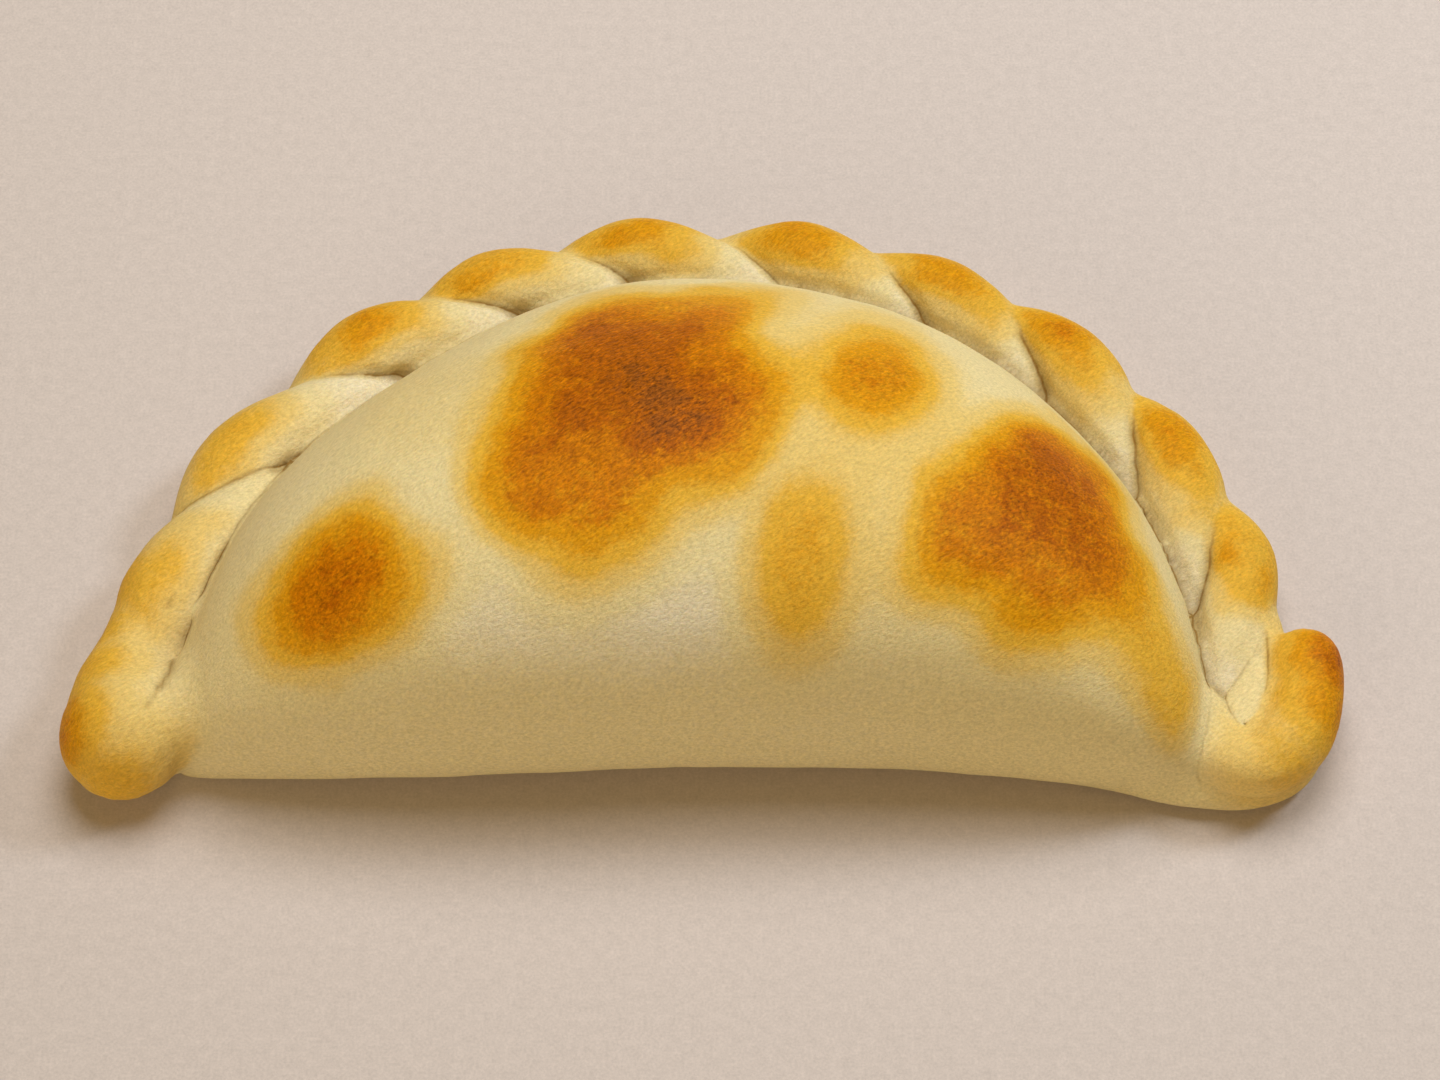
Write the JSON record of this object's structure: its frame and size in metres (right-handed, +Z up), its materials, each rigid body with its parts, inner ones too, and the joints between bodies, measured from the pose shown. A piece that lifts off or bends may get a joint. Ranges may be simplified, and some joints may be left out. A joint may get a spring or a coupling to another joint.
{
  "type": "empanada",
  "caption": "Baked half-moon empanada with a domed filled pouch, a rope-crimped round edge, a blunt knob at one end and a curled finger of dough at the other.",
  "frame": {"origin": "on the flat base, under the middle of the bounding box", "axes": "+X along the straight fold from the blunt knob to the curled end, +Y from the straight fold to the crimped edge, +Z up"},
  "size_m": [0.1269, 0.0709, 0.0313],
  "materials": {
    "crust": "baked dough, pale cream with golden and brown patches, satin"
  },
  "bodies": {
    "root": {"empanada": "crust"}
  },
  "joints": []
}
